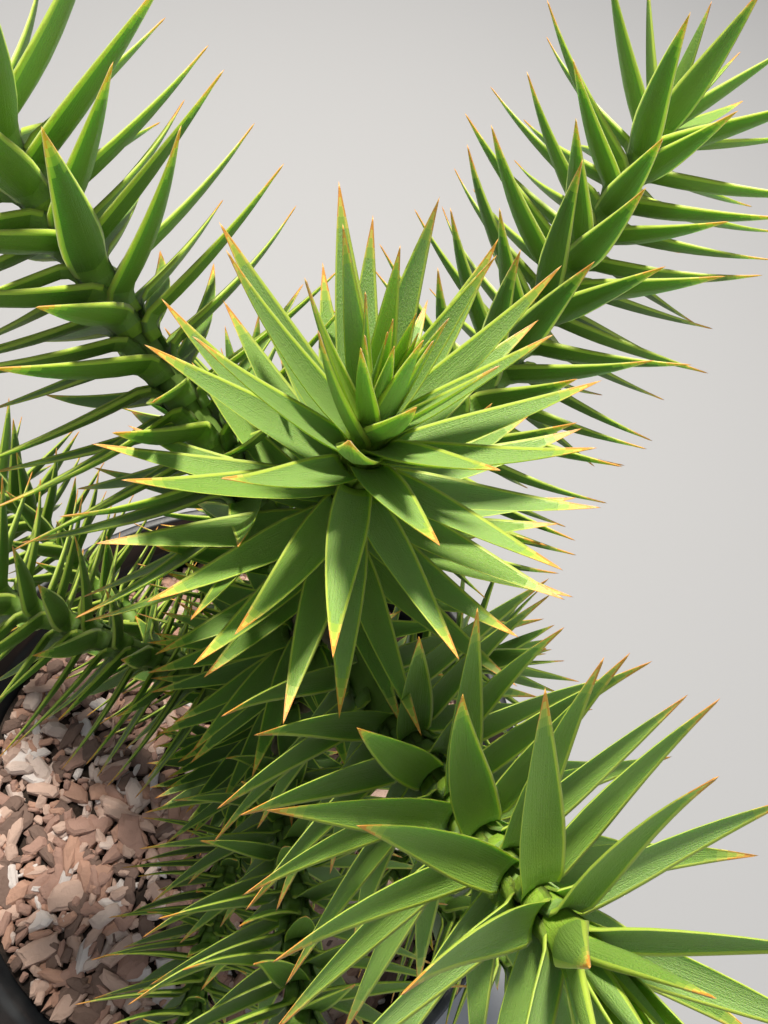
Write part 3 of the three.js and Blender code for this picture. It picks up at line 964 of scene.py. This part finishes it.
def scar_relief(size, pitch):
    """Low leaf scars in a spiral, with ring cracks and a slow wave between them"""

    def relief(height, turn):
        sway = CRACKS["sway"] * np.sin(turn * CRACKS["waves"])
        value = CRACKS["depth"] * np.sin(height * CRACKS["rate"] + sway)
        value = value + WAVE["depth"] * np.sin(height * WAVE["rate"] + turn * WAVE["turns"])
        steps = np.round(height / pitch)
        for offset in range(-SCAR["reach"], SCAR["reach"] + 1):
            index = steps + offset
            swing = np.angle(np.exp(1j * (turn - index * GOLDEN_ANGLE)))
            away = (swing / SCAR["half_turn"]) ** 2 + ((height - index * pitch) / SCAR["half_height"]) ** 2
            value = value + size * np.exp(-away * SCAR["sharpness"])
        return value

    return relief


def roughen(piece, amount, scale=700):
    """Moves the points of a piece along their normals by fine noise, by up to an amount in metres"""
    normals = [vertex.normal.copy() for vertex in piece.data.vertices]
    for vertex, normal in zip(piece.data.vertices, normals):
        vertex.co += normal * noise.noise(vertex.co * scale) * amount


def make_trunk(bark):
    heights = np.linspace(0, TRUNK["height"], TRUNK_MESH["steps"])
    radius = trunk_radius(heights) - SKIN
    relief = scar_relief(TRUNK_MESH["scar"], TRUNK_MESH["pitch"])
    points, faces = tube(trunk_axis(0), heights, radius, TRUNK_MESH["sides"], relief)
    points[:, 2] = np.maximum(points[:, 2], CHIPS_TOP + GAP)
    trunk = make_mesh("trunk_bark", points, faces, None, [bark])
    roughen(trunk, 0.0005)
    for vertex in trunk.data.vertices:
        vertex.co.z = max(vertex.co.z, (CHIPS_TOP + GAP) * MM)
    dress(trunk, "bark", "trunk")


def make_bough(name, bough, bark):
    distances = np.linspace(BOUGH_MESH["start"], bough["length"], BOUGH_MESH["steps"])
    radius = bough["radius"](distances) - SKIN
    relief = scar_relief(BOUGH_MESH["scar"], BOUGH_MESH["pitch"])
    points, faces = tube(bough["axis"], distances, radius, BOUGH_MESH["sides"], relief)
    piece = make_mesh(f"bough_bark_{name}", points, faces, None, [bark])
    roughen(piece, 0.0004)
    dress(piece, "bark", f"bough_{name}")


def make_twig(name, mass, green):
    """The green stem inside a mass, with a low cushion under each leaf and a rounded end"""
    start, end = mass["start"], mass["end"]
    steps = max(int((end - start) / TWIG_MESH["step"]), TWIG_MESH["least_steps"])
    distances = np.linspace(start, end, steps)
    share = np.clip((end - distances) / TWIG_MESH["rounding"] + TWIG_MESH["end"], TWIG_MESH["end"], 1)
    radius = mass["stem"](distances) * share
    relief = scar_relief(TWIG_MESH["scar"], mass["spacing"])
    points, faces = tube(mass["axis"], distances, radius, TWIG_MESH["sides"], relief)
    piece = make_mesh(f"twig_{name}", points, faces, None, [green])
    dress(piece, "foliage", f"leaves_{name}")


def make_foliage(number, name, mass):
    points, faces, slots, grain = grow(name, number, mass)
    foliage = make_mesh(f"foliage_{name}", points, faces, slots, leaf_materials, uv=grain)
    dress(foliage, "foliage", f"leaves_{name}")


make_camera()
make_stage()
make_pot()
make_mix()
make_chips()
bark_look = bark_material()
green_look = stem_material()
make_trunk(bark_look)
for bough_name, bough_data in boughs.items():
    make_bough(bough_name, bough_data, bark_look)
for mass_number, (mass_name, mass_data) in enumerate(masses.items()):
    if not mass_data.get("on_trunk"):
        make_twig(mass_name, mass_data, green_look)
    make_foliage(mass_number, mass_name, mass_data)
